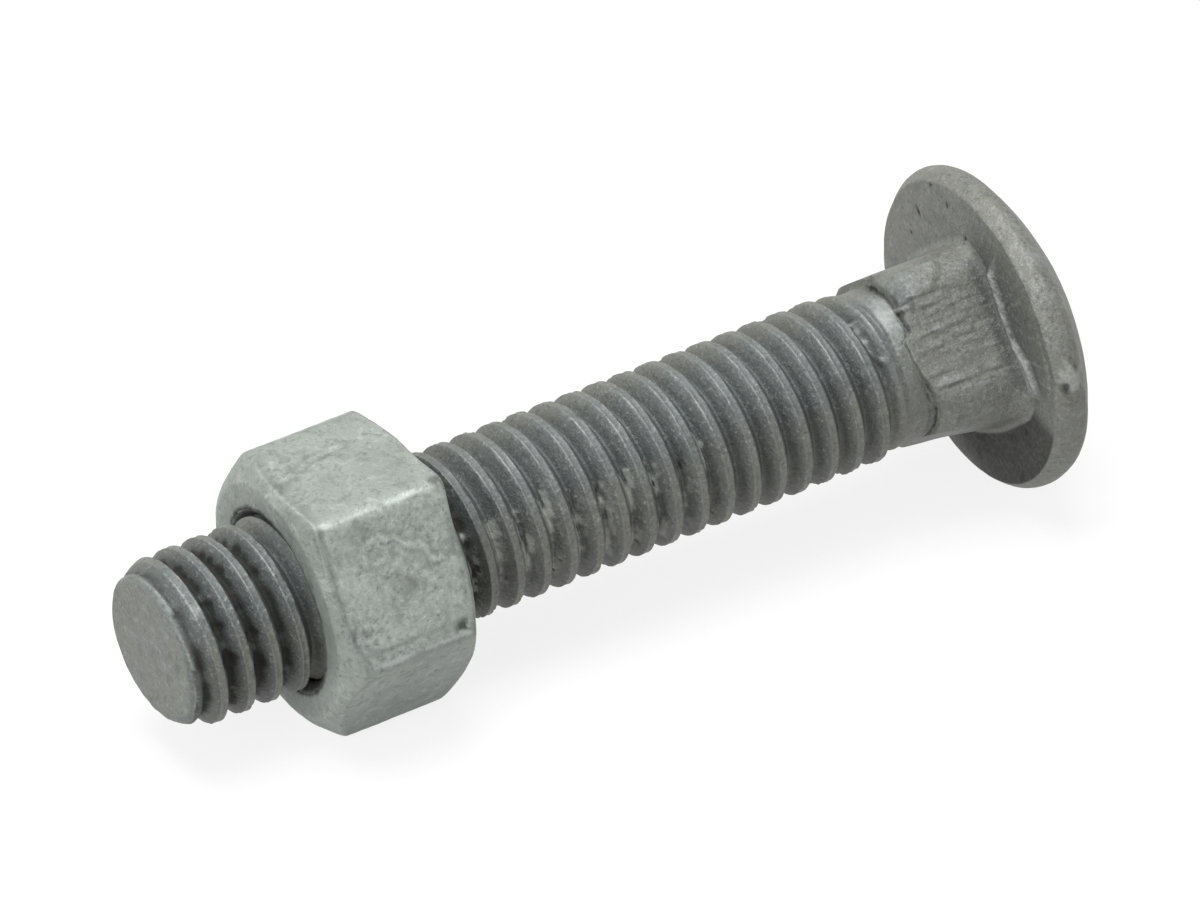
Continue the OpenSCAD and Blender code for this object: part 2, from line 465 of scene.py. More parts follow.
def neck_lean(degrees, z):
    """How far the neck's lower flat leans out towards the head, with the zinc in its corner."""
    lean = (0.20 * (z / MM + 4.65) - 0.25) * near_turn(degrees, 318, 44)
    corner = 0.3 * near_turn(degrees, 283, 15) * ease(1 + z / (1.5 * MM)) ** 2
    return (lean + corner + 0.06 * near_turn(degrees, 141, 40)) * MM


def neck_rule(s):
    """Presses the round neck square, and draws the bearing face near it along."""
    corner_reach = neck_corner_reach(s)
    ring_r = s.head_d / 2 - s.rim_r
    shoulder_r = s.thread_r - s.shoulder_step
    edge_reach = 1.3 * MM

    def rule(angle, r, z):
        if z > s.rim_r / 2 or z < -s.neck_len - s.shoulder_len + MERGE:
            return r, z
        degrees = math.degrees(angle)
        square_r = outline_radius(angle - s.neck_turn, 4, s.neck_w, s.neck_corner_r)
        if z > -s.neck_fillet - MERGE:
            near = 1 - ease((r - corner_reach) / (ring_r - corner_reach))
            return r - (corner_reach - square_r - neck_lean(degrees, z)) * near, z
        above = z + s.neck_len
        if r > shoulder_r + MERGE:
            r = soft_min(r, square_r, 0.12 * MM) + neck_lean(degrees, z)
        elif above < -MERGE:
            r += 0.28 * MM * near_turn(degrees, 210, 7) * ease(1 + above / (0.9 * MM))
        share = 1 - above / edge_reach if above > 0 else 1 + above / s.shoulder_len
        return r, z + max(0, share) * neck_edge_shift(degrees)

    return rule


def head_rule(s):
    """The uneven forging of the head: bent back on one side, thicker on the next one."""
    reach = s.head_d / 2

    def rule(angle, r, z):
        if z < -MERGE or r < neck_corner_reach(s):
            return r, z
        degrees = math.degrees(angle)
        out = (r / reach) ** 4
        back = 0.24 * near_turn(degrees, 65, 62) * out * max(0, 1 - z / s.rim_r)
        crown = 0.34 * near_turn(degrees, 288, 34) - 0.14 * near_turn(degrees, 200, 34)
        crown *= ease((z / MM - 0.3) / 0.8) * (r / reach) ** 2
        pinch = 0.14 * near_turn(degrees, 118, 20) * out
        return r - pinch * MM, z + (back + crown) * MM

    return rule


# ---- the bolt's coat ----

# In all that follows, turns round the axis are in degrees, and 0 is straight down and 180 straight
# up as the bolt lies. Heights are in mm from the bearing face under the head, negative down the
# shank. These are the millimetres to a degree on the thread, the neck's corners, the rim and the nut:
THREAD_STEP = 0.075
CORNER_STEP = 0.094
RIM_STEP = 0.158
NUT_STEP = 0.125

# Stretches of the thread
# The grooves of both stretches below get dirt and painted shade.
NEAR_TIP = (-49.5, -43.0)       # grimy grooves between tip and nut
BESIDE_NUT = (-34.2, -32.4)     # the grimy groove at the nut's seat
DROSS_RUN = (-32.8, -17.8)      # grooves with crumbs of dross
FIRST_TURN_TOP = -47.3          # where the worn first turn ends
WORM_R = 4.4                    # distance from the axis at which the worm is laid out

# The thin worm of zinc in the last groove: turn and height
WORM = ((186, -7.6), (191, -7.3), (199, -7.45), (209, -7.4), (216, -7.35), (222, -7.15), (228, -7.0))

# Dirt spots in the first grooves: turn, height and size in mm
TIP_SPOTS = ((181, -47.3, 0.2), (214, -47.1, 0.2), (232, -47.0, 0.22), (258, -46.9, 0.32),
             (166, -45.8, 0.26), (176, -45.7, 0.22), (192, -45.65, 0.26), (246, -45.4, 0.24),
             (271, -45.3, 0.3), (203, -44.05, 0.2), (176, -44.1, 0.24), (225, -45.5, 0.16))


def off_crest(s, degrees, z):
    """How far a place on the thread is from the nearest crest's middle, headward positive, in mm."""
    pitch = s.pitch / MM
    climb = z + s.bolt_len / MM - pitch * past_turn(degrees, math.degrees(s.thread_turn)) / 360
    return (climb + pitch / 2) % pitch - pitch / 2


def lodged(degrees, z):
    """1 on the lower front of the dross run, with a wandering upper edge, and 0 away from it."""
    edge = 226 + 20 * cloud((0, 0, z), 1.1)
    return ease((degrees - edge) / 9) * ease((318 - degrees) / 16) * span(z, *DROSS_RUN, 0.8)


def thread_crumbs(place, around, z, p, deep, off):
    """Crumbs of torn dross in the roots and on the flanks."""
    lumps = cloud((around / 1.8, z / 1.2, 3), 0.9, 1) + 0.3 * cloud(p, 0.42, 2)
    in_root = ease((deep - 0.16) / 0.16) if off > 0 else ease((deep - 0.2) / 0.38)
    return ease((0.85 * place + 0.9 * lumps - 0.62) / 0.7) * in_root * span(z, *DROSS_RUN, 0.8)


def thread_pits(place, around, degrees, z, p, deep):
    """Black pits in the roots, most of them in the dross, and the dirty spots near the tip."""
    pits = 0.8 * cloud((around / 1.3, z, 9), 0.5, 3) + 0.26 * place
    pits = ease((pits - 0.60) / 0.14) * ease((deep - 0.5) / 0.15)
    for turn_at, spot_z, size in TIP_SPOTS:
        spot = math.hypot(past_turn(degrees, turn_at) * THREAD_STEP, z - spot_z) / size
        pits = max(pits, min(1, 2.2 * hump(spot + 0.3 * cloud(p, 0.3, 3), 1)))
    return pits


def thread_painted_shade(s, degrees, z, deep, off, torn, by_nut):
    """How much painted shade the grooves get: least on the upper side, most in clean roots and by the nut,
    with a little on the crests too, most near the top.
    """
    upper = near_turn(degrees, 145, 38)
    low = span(degrees, 252, 330, 14)
    groove = ease((abs(off) - 0.185) / 0.05) * ease((deep + 0.1) / 0.15)
    groove *= ease((-s.neck_len / MM - 1.4 - z) / 0.8)
    shade_and_dull_zinc = (0.60 - 0.36 * upper - 0.24 * low * deep + 0.2 * by_nut) * groove
    shade_and_dull_zinc += (0.10 + 0.42 * near_turn(degrees, 206, 42)) * (1 - groove)
    shade_and_dull_zinc += 0.16 * near_turn(degrees, 238, 18)
    shade_and_dull_zinc += 0.32 * ease((deep - 0.8) / 0.12) * span(degrees, 172, 262, 16) * (1 - torn)
    return shade_and_dull_zinc + 0.1 * by_nut


def thread_marks(s, degrees, r, z, p):
    """Rubbed crest edges with painted highlights, torn dross and black pits in the roots, grime, and
    painted shade in the roots and by the nut.
    """
    degrees %= 360
    deep = min(1, max(0, (s.thread_r / MM - r) / (s.thread_depth / MM)))
    off = off_crest(s, degrees, z)
    around = math.radians(degrees) * r
    place = lodged(degrees, z)
    torn = thread_crumbs(place, around, z, p, deep, off)
    pits = thread_pits(place, around, degrees, z, p, deep)
    by_nut = max(span(z, *NEAR_TIP, 0.8), span(z, *BESIDE_NUT, 0.8))
    worm_chain = [(math.radians(turn_at) * WORM_R, height) for turn_at, height in WORM]
    off_worm = off_chain(math.radians(degrees) * WORM_R, z, worm_chain)
    worm = hump(off_worm + 0.12 * cloud(p, 0.35, 5), 0.11) * ease(0.75 + 1.3 * cloud(p, 0.45, 8))

    nicks = ease((cloud(p, 0.6, 5) - 0.2) / 0.25) * max(0, 1 - deep / 0.16)
    out = 0.014 * cloud(p, 1.4) + 0.014 * cloud(p, 0.4, 7)
    out += 0.12 * torn - 0.08 * pits - 0.05 * nicks + 0.10 * worm

    # Black pits, dirt and painted shade deeper in the roots, more dirt and painted shade in the grooves by
    # the nut, and a line of painted shade beside the worm.
    grime_and_shade = 1.1 * pits + 0.22 * deep ** 2 * (1 + cloud(p, 1.1, 6)) * (1 - torn)
    grime_and_shade += deep ** 2 * by_nut * (0.75 + 0.9 * cloud(p, 0.7, 2))
    grime_and_shade += 0.45 * hump(off_worm - 0.26, 0.1) * (1 - worm)

    # Painted highlights along the crest edges, strongest on the upper side where the light falls, with a
    # cooler tint there; the worm and the first turn are rubbed pale.
    top = near_turn(degrees, 203, 32)
    edge_line = hump(abs(off) - 0.19, 0.06) * (0.7 + 0.9 * cloud((around / 2, z, 4), 0.6, 9))
    first_turn = ease((FIRST_TURN_TOP - z) / 0.5) * near_turn(degrees, 215, 30) * (1 - deep)
    rub_and_highlight = (0.06 + 0.58 * top) * edge_line + 0.9 * worm
    rub_and_highlight += 0.6 * first_turn * ease(1.8 * cloud(p, 0.7, 9))

    shade_and_dull_zinc = thread_painted_shade(s, degrees, z, deep, off, torn, by_nut)
    return out, shade_and_dull_zinc, torn, grime_and_shade, rub_and_highlight, 0.9 * top


def tip_marks(s, degrees, r, z, p):
    """The sheared face, matt and hardly marked, with a pale ridge where the first groove starts, and dirt
    and painted shade on its bevelled edge and in the first groove, more on the lower side.
    """
    lead = s.tip_lead / MM
    skew = s.tip_skew / MM * math.cos(math.radians(degrees) - s.tip_skew_turn)
    off = z + s.bolt_len / MM - skew
    edge = ease((r - 3.6) / 0.3)
    front = span(degrees % 360, 176, 288, 14)
    ridge = hump(off - lead, 0.1) * front * edge
    groove = ease((off - lead - 0.05) / 0.15) * edge
    low = near_turn(degrees, 250, 45)
    out = 0.02 * cloud(p, 1.8) + 0.008 * cloud(p, 0.5, 7) - 0.03 + 0.05 * ridge
    shade_and_dull_zinc = edge * (0.28 + 0.2 * low) + 0.3 * groove
    grime_and_shade = 0.25 * groove * (0.6 + low) + 0.2 * edge * ease(cloud(p, 0.5, 6))
    return out, shade_and_dull_zinc, 0, grime_and_shade, 0.5 * ridge, 0.18 + 0.3 * edge


# Ridges on the neck's front flat: how far across from its middle, both ends, and height, in mm
NECK_RIDGES = ((-2.42, -5.2, -2.5, 0.16), (-1.9, -3.4, -1.4, 0.06), (-0.82, -5.3, -2.1, 0.10),
               (-0.3, -2.7, -2.0, 0.12), (-0.05, -5.0, -3.8, 0.12), (0.35, -3.9, -1.4, 0.07),
               (1.25, -5.2, -3.9, 0.08), (1.95, -4.8, -1.1, 0.14), (2.65, -5.0, -1.0, 0.09),
               (-1.4, -1.9, -0.5, 0.07), (0.9, -2.3, -0.6, 0.07))


def neck_ridges(across, z):
    """How high the ridges drawn along the front flat stand, and how deep the hollows beside them."""
    ridge = 0
    beside = 0
    for at, foot, top, height in NECK_RIDGES:
        bend = 0.14 * cloud((at * 3, 0, z), 1.0)
        lump = height * (0.8 + 0.7 * cloud((at * 5, 2, z), 0.6)) * span(z, foot, top, 0.3)
        ridge = max(ridge, lump * hump(across - at - bend, 0.11))
        beside = max(beside, lump * hump(across - at - bend - 0.2, 0.12))
    return ridge, beside


def neck_plate(from_corner, z, p):
    """The smooth plate of zinc on the upper corner: 1 on it, cut off slantwise at its top."""
    slant = -2.05 - 1.1 * max(0, from_corner + 0.2) - z
    inside = min(0.92 - abs(from_corner - 0.04), z + 5.05, slant)
    return ease((inside + 0.1 * cloud(p, 0.6, 3)) / 0.14 + 0.5)


def neck_marks(s, degrees, r, z, p):
    """Sparse streaks drawn along the flats, ridges on the front one with painted highlights and painted
    shade beside them, a smooth plate on its corner, and painted shade on the step, in the creases and
    towards the head.
    """
    foot_z = -s.neck_len / MM
    off_front = past_turn(degrees, math.degrees(s.neck_turn) + 180)
    across = r * math.sin(math.radians(off_front))
    on_front = ease((43 - abs(off_front)) / 5)
    from_corner = past_turn(degrees, 190) * CORNER_STEP
    plate = neck_plate(from_corner, z, p)
    ridge, beside = neck_ridges(across, z)
    bare_front = on_front * (1 - plate)
    rough = ease(cloud((across, 4, z), 1.2, 6) * 1.2 + 0.25 + 0.4 * hump(z + 4.6, 0.6))
    pocks = cloud(p, 0.34, 8) * rough
    step_face = ease((-4.36 - z) / 0.1) * ease((r - s.thread_r / MM + 0.05) / 0.15)
    crease = span(z, foot_z - 0.35, foot_z + 0.14, 0.15) * ease((4.66 - r) / 0.2)
    lip = near_turn(degrees, 233, 15)
    crust = near_turn(degrees, 166, 17) * hump(z + 5.05, 0.35)
    by_head = span(off_front, -36, 34, 12) * ease((z + 1.2) / 0.9)
    low = ease(past_turn(degrees, 282) / 12) * ease((100 - past_turn(degrees, 282)) / 20)

    out = 0.02 * cloud(p, 1.3) - 0.01 + 0.14 * plate + 0.05 * crust * cloud(p, 0.4, 9)
    out += bare_front * (1.2 * ridge - 0.4 * beside + 0.04 * pocks)
    # Painted shade on the step face at the upper corner, towards the head, in the crease at the neck's
    # foot, beside the ridges, over the front flat and on the lower side. The dark marks add pocks, a
    # crust, dirt and painted shade in the creases, and a dark line along the plate's edge.
    shade_and_dull_zinc = 0.75 * near_turn(degrees, 197, 9) * step_face + 0.7 * by_head + 0.5 * crease
    shade_and_dull_zinc += 1.4 * beside * bare_front + 0.24 * on_front + 0.15 * low
    grime_and_shade = 0.35 * crease + 0.6 * lip * crease + 0.30 * ease(-2 * pocks - 0.2) * on_front
    grime_and_shade += crust * (0.35 + 0.5 * cloud(p, 0.35, 4))
    grime_and_shade += 0.5 * hump(from_corner - 0.98, 0.1) * span(z, -5, -2.4, 0.3)
    rub_and_highlight = 0.22 * plate * (0.6 + 0.9 * hump(from_corner - 0.5, 0.5)) + 5.2 * ridge * bare_front
    return out, shade_and_dull_zinc, 0, grime_and_shade, rub_and_highlight, 0.20 * plate + 0.1, (1 - plate) * (1 - step_face)


def shoulder_marks(s, degrees, r, z, p):
    """The plain shoulder, smooth, with a painted highlight on top, painted shade on the lower side, and
    dirt and painted shade in the crease under the neck.
    """
    top = near_turn(degrees, 197, 22)
    low = 1 - near_turn(degrees, 190, 55)
    crease = ease((z + s.neck_len / MM + 0.4) / 0.3) * ease((4.66 - r) / 0.2)
    crease *= near_turn(degrees, 238, 22) + 0.7 * near_turn(degrees, 165, 30)
    out = 0.014 * cloud(p, 1.2) - 0.01 + 0.02 * cloud(p, 0.3, 4) * top
    grime_and_shade = 0.12 * ease(cloud(p, 0.5, 3)) + 0.55 * crease
    rub_and_highlight = 0.95 * top * (0.7 + 0.7 * cloud(p, 0.9, 4))
    return out, 0.18 * low, 0, grime_and_shade, rub_and_highlight, 0.2 + 0.4 * top


# Pits in the bearing face: turn in degrees, distance from the axis, length and width in mm
HEAD_PITS = ((138, 7.0, 0.42, 0.2), (147, 6.2, 0.16, 0.1), (166, 7.4, 0.26, 0.1), (185, 8.1, 0.4, 0.1),
             (180, 6.05, 0.26, 0.09), (199, 5.75, 0.3, 0.12), (253, 7.4, 0.24, 0.1), (122, 6.4, 0.2, 0.12),
             (259, 7.5, 0.2, 0.09), (299, 6.5, 0.16, 0.09), (156, 8.3, 0.14, 0.1))

RIM_FROM = 8                    # the rim and all that is on it is further from the axis, in mm


def head_pits(degrees, r):
    """The pits in the bearing face: 1 in their middles."""
    pit = 0
    for turn_at, at, long, width in HEAD_PITS:
        off = past_turn(degrees, turn_at) * math.radians(1) * r
        pit = max(pit, hump(math.hypot(off / width, (r - at) / long), 1))
    return pit


def rim_lump(degrees, r, z, p):
    """The lump of dross on the rim: how much of it is here, the dent round it, and its dark holes and dark
    edge.
    """
    if r <= RIM_FROM:
        return 0, 0, 0
    off = math.hypot(past_turn(degrees, 258) * RIM_STEP, (z - 0.9) / 0.85)
    lump = ease((1 - off / 1.05 + 0.5 * cloud(p, 0.5, 4)) / 0.5)
    holes = hump(math.hypot(past_turn(degrees, 255) * RIM_STEP, z - 1.25), 0.24)
    holes += hump(math.hypot(past_turn(degrees, 261) * RIM_STEP, (z - 0.55) / 0.7), 0.34)
    dirt_and_shade = 0.9 * holes + 0.3 * hump(off - 1.0, 0.2) * ease(cloud(p, 0.6, 3) + 0.5)
    return lump, hump(off / 1.9, 1), dirt_and_shade


def head_marks(s, degrees, r, z, p):
    """Pits and streaks under the head, a bead of zinc beside the neck, a lump on the rim, painted shade
    over the bearing face and near the neck, the neck's painted shadow below it, and a painted highlight on
    the rim.
    """
    off_front = past_turn(degrees, math.degrees(s.neck_turn) + 180)
    across = r * math.sin(math.radians(off_front))
    away = r * math.cos(math.radians(off_front))
    face = (ease(1 - z / 0.12) if z > 0 else 1) * ease((8.7 - r) / 0.2)
    rim = ease((z - 0.02) / 0.2)
    pit = head_pits(degrees, r) * face
    lump, dent, lump_dirt = rim_lump(degrees, r, z, p)
    rays = noise.noise(Vector((math.radians(degrees) * 16, r / 2.5, 0)))
    rays += 0.5 * noise.noise(Vector((math.radians(degrees) * 40, r / 1.5, 5)))

    # the bead grows from a thin line to a wedge, with a crease on its neck side that gets painted shade
    bead_w = 0.15 + 0.55 * ease((across - 0.8) / 2.4)
    off_bead = away - 5.10 + 0.12 * across - 0.60 * (bead_w - 0.15)
    bead = ease((bead_w - abs(off_bead)) / 0.16 + 0.5) * span(across, -2.5, 4.1, 0.4) * face
    crease = hump(off_bead + bead_w + 0.22, 0.2) * span(across, -2.4, 2.6, 0.6) * face
    beside = hump(off_bead - bead_w - 0.2, 0.16) * span(across, -2.4, 3.8, 0.6) * face
    # by_neck and below are painted shade: near the neck, and the neck's shadow on the face under it.
    by_neck = span(off_front, -38, 34, 16) * face * ease((9.6 - r) / 4)
    below = span(past_turn(degrees, 318), -30, 55, 16) * face
    # A painted highlight on the rim (bright), with patches of it further round (patchy).
    bright = near_turn(degrees, 213, 15) * rim * ease((2.2 - z) / 0.8)
    bright *= 0.5 + 0.9 * cloud(p, 1.1, 9) + 0.4 * cloud(p, 0.4, 3)
    patchy = near_turn(degrees, 238, 16) * rim * ease(1.6 * cloud(p, 0.9, 2))

    # Painted shade over the bearing face, near the neck, in the crease, beside the bead and in the neck's
    # shadow; the dark marks also hold pits, dirt and the lump's holes.
    out = 0.02 * cloud(p, 1.6) + 0.010 * cloud(p, 0.5, 7) - 0.04 + 0.03 * rays * face
    out += 0.30 * bead - 0.10 * pit + 0.14 * lump - 0.16 * dent
    grime_and_shade = 0.95 * pit + 0.62 * below + 0.14 * ease(cloud(p, 0.6, 8)) * face + 0.5 * crease + lump_dirt
    shade_and_dull_zinc = 0.2 * face + 0.50 * by_neck * (1 - bead) + 0.5 * below + 0.5 * crease + 0.3 * beside
    shade_and_dull_zinc += 0.14 * rim * (1 - near_turn(degrees, 200, 50))
    rub_and_highlight = 0.50 * bead + 0.50 * bright + 0.3 * patchy + 0.04 * rim + 0.5 * lump
    rub_and_highlight += (0.2 + 0.25 * by_neck) * face * ease(rays * 2) * (1 - bead)
    return out, shade_and_dull_zinc, 0.40 * lump, grime_and_shade, rub_and_highlight, 0.35 * bright + 0.25 * bead


def bolt_marks(s):
    """The coat's relief and marks all over the bolt."""
    thread_end = -(s.neck_len + s.shoulder_len) / MM + 0.02
    neck_z = -s.neck_len / MM
    thread_start = (s.tip_lead + s.tip_skew - s.bolt_len) / MM
    shoulder_r = (s.thread_r - s.shoulder_step) / MM

    def rule(degrees, r, z, p):
        if z < thread_start:
            return tip_marks(s, degrees, r, z, p)
        if z < thread_end:
            return thread_marks(s, degrees, r, z, p)
        if r < shoulder_r + 0.32 and z < neck_z + 0.05:
            return shoulder_marks(s, degrees, r, z, p)
        if z < -0.02:
            return neck_marks(s, degrees, r, z, p)
        return head_marks(s, degrees, r, z, p)

    return rule


def build_bolt(s):
    """The whole bolt as one closed skin, upright."""
    bm = bmesh.new()
    turns = math.ceil((s.bolt_len - s.neck_len - s.shoulder_len) / s.pitch) + 3
    start_z = -s.bolt_len - 2 * s.pitch
    chain = [(r, z + start_z) for r, z in thread_chain(s)]
    wind_thread(bm, chain, s.thread_turn, COLUMNS, s.pitch, turns)
    reshape(bm.verts, thread_rule(s))
    weld(bm)
    close_tip(bm, s)
    lathe(bm, head_chain(s), s.thread_turn, COLUMNS)
    weld(bm)
    reshape(bm.verts, head_rule(s))
    reshape(bm.verts, neck_rule(s))
    dress(bm, bolt_marks(s))
    return bm


# ---- the nut ----

def nut_thread_chain(s, n):
    """One pitch of the nut's own thread, from tooth centre to tooth centre."""
    slant = (s.pitch - s.crest_w - s.root_w) / 2 / s.thread_depth
    half_tooth = s.pitch / 2 - s.crest_w / 2 - (s.thread_r - n.tooth_r) * slant - n.slack

    def radius(off):
        flank = n.tooth_r + (off - half_tooth) / slant
        return soft_max(n.tooth_r, soft_min(flank, n.bore_r, 0.06 * MM), 0.06 * MM)

    return one_pitch(s.pitch, [0, 0.14, 0.3, 0.45, 0.6, 0.75, 0.88, 1], radius)


def bevel_drop(n):
    """How far down the nut's sharp corners its bevels would reach."""
    return (n.nut_w / 2 / math.cos(math.pi / 6) - n.face_d / 2) * math.tan(n.bevel)


def nut_outline(n):
    """Outline of the nut's blank, from one countersink's edge round to the other's."""
    sharp_r = n.nut_w / 2 / math.cos(math.pi / 6)
    drop = bevel_drop(n)
    sink_r = n.bore_r + n.sink
    return divided([(sink_r, 0), (n.face_d / 2, 0), (sharp_r, drop), (sharp_r, n.nut_h - drop),
                    (n.face_d / 2, n.nut_h), (sink_r, n.nut_h)], 0.15 * MM)


# How much of its bevel each corner of the nut has: turn in degrees, at the foot, at the seat
NUT_CORNERS = ((210, 0.5, 0.12), (270, 0.86, 0.85), (330, 1.35, 1.15), (150, 0.9, 0.9))


def corner_bevel(degrees, at_foot):
    """Share of the bevel that is left at a turn: each corner was knocked differently."""
    share = 0.8
    for turn_at, foot, seat in NUT_CORNERS:
        share += ((foot if at_foot else seat) - 0.8) * near_turn(degrees, turn_at, 17)
    return share


# Wrinkles on the nut's flats: the flat's turn, then places as distance across it from its
# middle and height above the nut's foot, in mm
WRINKLES = ((240, ((-2.4, 3.7), (-2.1, 4.5), (-1.55, 5.0), (-1.2, 5.8), (-0.5, 6.2), (-0.1, 6.8))),
            (240, ((-1.3, 2.6), (-2.1, 2.7), (-2.3, 3.4), (-1.8, 4.0), (-1.2, 3.8), (-1.1, 3.1))),
            (240, ((1.6, 1.3), (2.2, 1.0), (2.5, 1.6), (2.0, 2.0), (1.6, 1.6))),
            (180, ((-0.8, 2.2), (-1.3, 3.3), (-1.5, 5.2))))

FRONT_FLAT = 240                # turns of the two flats that have marks of their own
TOP_FLAT = 180


def nut_wrinkles(flat, across, up):
    """How much of a wrinkle there is at a place on a flat, and how much of the dip beside it, which also
    gets painted shade.
    """
    wrinkle = 0
    beside = 0
    for turn_at, chain in WRINKLES:
        if turn_at == flat:
            wobble = 0.22 * cloud((across, up, turn_at), 0.6)
            off = off_chain(across + wobble, up - wobble, chain)
            wrinkle = max(wrinkle, hump(off, 0.13) * (0.6 + 0.8 * cloud((across, up, 3), 0.8)))
            beside = max(beside, hump(off - 0.26, 0.13))
    return wrinkle, beside


def nut_smudges(degrees, up, p):
    """Dirt rubbed in near the seat: a streaky place low on the front, a small one at its top."""
    smudge = hump(math.hypot(past_turn(degrees, 266) * NUT_STEP / 0.4, (up - 6.7) / 0.8), 1)
    smudge *= ease(0.6 + 1.8 * cloud(p, 0.4, 2))
    return smudge + 0.8 * hump(math.hypot(past_turn(degrees, 209) * NUT_STEP, up - 7.6), 0.5)


def nut_marks(n, foot_z):
    """The nut's coat: soft and lumpy on the flats, rubbed and with painted highlights on the edges, dirt
    and painted shade in the bore, and painted shade in the groove round the front flat and on the lower
    side.
    """
    flat_r = n.nut_w / 2 / MM
    face_r = n.face_d / 2 / MM
    sink_r = (n.bore_r + n.sink) / MM
    height = n.nut_h / MM

    def rule(degrees, r, z, p):
        up = z - foot_z / MM
        # In the countersinks and the bore: dirt and painted shade, darker further in.
        if r < sink_r - 0.02:
            sunk = ease((sink_r - r) / 0.3)
            return 0, 0.5 + 0.4 * sunk, 0, 0.3 + 0.5 * sunk + 0.35 * cloud(p, 0.6, 5), 0, 0.2

        from_end = min(up, height - up)
        off_flat = past_turn(degrees, 60 * round(degrees / 60))
        flat = (60 * round(degrees / 60)) % 360
        front = flat == FRONT_FLAT
        across = r * math.sin(math.radians(off_flat))
        drop = (flat_r / math.cos(math.radians(off_flat)) - face_r) * math.tan(n.bevel)
        off_bevel = from_end - drop * corner_bevel(degrees, up < height / 2)
        on_side = ease((r - face_r) / 0.2)
        on_flat = ease((off_bevel - 0.1) / 0.15) if r > face_r + 0.05 else 0

        # a faint groove frames the front flat, deeper along its foot, and gets painted shade
        wander = 0.12 * cloud((across, up, 6), 1.1)
        groove = hump(off_bevel - 0.32 - wander, 0.13) * on_side
        groove = max(groove, hump(across - 3.15 - wander, 0.13) * ease((off_bevel - 0.2) / 0.2))
        groove *= front * (1 if up < height / 2 else 0.4)
        edge = hump(abs(off_flat) - 30, 1.5) if r > face_r else 0
        rim = hump(r - face_r, 0.3) * ease(1 - on_flat)
        rim *= 1 - 0.8 * near_turn(degrees, FRONT_FLAT, 24)
        wrinkle, beside = nut_wrinkles(flat, across, up) if on_flat else (0, 0)
        smudge = nut_smudges(degrees, up, p)
        mottled = ease(1.2 * cloud(p, 1.1, 4) + 1.0 * cloud(p, 0.35, 3)) * front
        near_bore = ease((sink_r + 1.2 - r) / 1.2) * ease(1 - up / 0.5)

        out = 0.03 * cloud(p, 2.2) + 0.016 * cloud(p, 0.7, 7) + 0.008 * cloud(p, 0.35, 8) - 0.04
        out += (0.07 * wrinkle - 0.05 * beside) * on_flat - 0.03 * groove

        # A dark line round the countersinks' edges, smudges, and dirt and painted shade near the bore.
        sink_edge = hump(r - sink_r - 0.04, 0.1) * ease((1.2 - from_end) / 0.4)
        grime_and_shade = 0.85 * smudge + 0.7 * sink_edge + 0.3 * near_bore * (0.6 + cloud(p, 0.7, 5))
        grime_and_shade += 0.25 * ease(cloud(p, 0.45, 6) * 2 - 0.5) * (smudge + 0.4 * on_flat)

        worn_foot = span(past_turn(degrees, TOP_FLAT), -32, 27, 8) * ease((1.6 - up) / 1.2) * on_flat
        under = span(past_turn(degrees, 300), -27, 40, 8) * on_side * ease(past_turn(degrees, 285) / 30)
        # Painted shade in the frame's groove, beside the wrinkles, near the bore, along the front bevel's
        # edge and on the lower side (under); darker mottles, a worn foot on the top flat and clouds low on
        # it.
        shade_and_dull_zinc = 0.42 * groove + 0.3 * beside * on_flat + 0.2 * near_bore + 0.32 * worn_foot + 0.12 * under
        shade_and_dull_zinc += 0.24 * mottled * on_flat * (1 - wrinkle) + 0.30 * front * hump(off_bevel - 0.04, 0.12)
        shade_and_dull_zinc += 0.3 * ease(1.5 * cloud(p, 1.2, 6)) * (flat == TOP_FLAT) * ease((4 - up) / 3)

        # Painted highlights along the corners, at the bevels' rims and on the wrinkles, a paler front
        # flat, and a bright fleck.
        rub_and_highlight = edge * on_flat * (0.55 + 0.7 * cloud(p, 0.9, 8)) + 0.35 * rim + 0.3 * wrinkle * on_flat
        rub_and_highlight += 0.34 * front * on_flat * (1 - 0.7 * mottled) * (1 - groove)
        rub_and_highlight += 0.7 * hump(math.hypot(past_turn(degrees, 167) * NUT_STEP * 1.5, up - 4.75), 0.3)
        return out, shade_and_dull_zinc, 0, grime_and_shade, rub_and_highlight, 0.3

    return rule


